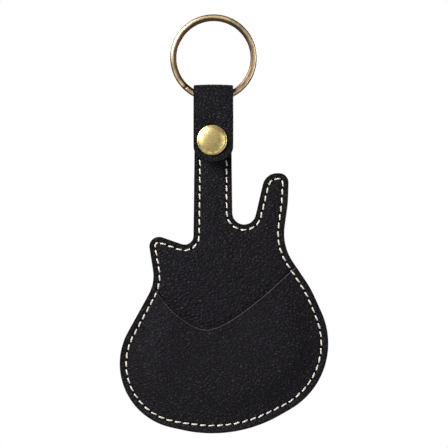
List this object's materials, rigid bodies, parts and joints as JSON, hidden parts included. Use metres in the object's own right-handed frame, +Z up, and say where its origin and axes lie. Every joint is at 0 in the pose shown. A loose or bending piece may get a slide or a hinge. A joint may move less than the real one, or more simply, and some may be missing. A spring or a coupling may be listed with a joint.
{
  "type": "pick holder",
  "caption": "Guitar-shaped leather pouch with a slanted front pocket for picks, a snap strap and a split key ring.",
  "frame": {"origin": "inside top of the key ring, the point that it hangs from", "axes": "+Z up along the length, -Y out of the front, +X to the right as seen from the front"},
  "size_m": [0.0722, 0.0097, 0.1449],
  "materials": {
    "leather": "matt pebbled black leather with a soft sheen and painted edges",
    "thread": "waxed cream lockstitch thread",
    "ring_brass": "polished antique brass, dark in the gaps",
    "cap_gold": "satin aged gold, lightly mottled",
    "snap_brass": "plain aged brass",
    "spring_steel": "bright drawn wire"
  },
  "bodies": {
    "ring": {"key_ring": "ring_brass"},
    "pouch": {"back_panel": "leather", "strap_fold": "leather", "front_panel": "leather", "pocket_panel": "leather", "needle_thread": "thread", "bobbin_thread": "thread", "snap_stud": "snap_brass", "snap_post": "snap_brass"},
    "flap": {"strap_flap": "leather", "snap_cap": "cap_gold", "snap_socket": "snap_brass", "snap_spring_left": "spring_steel", "snap_spring_right": "spring_steel"}
  },
  "joints": [
    {"name": "pouch_swing", "type": "hinge", "parent": "ring", "child": "pouch", "pos_m": [0, 0, -0.0257], "axis": [1, 0, 0], "range_deg": [-165, 165]},
    {"name": "flap_open", "type": "hinge", "parent": "pouch", "child": "flap", "pos_m": [0, 0, -0.0257], "axis": [-1, 0, 0], "range_deg": [0, 170], "deforming": ["strap_fold"]}
  ]
}
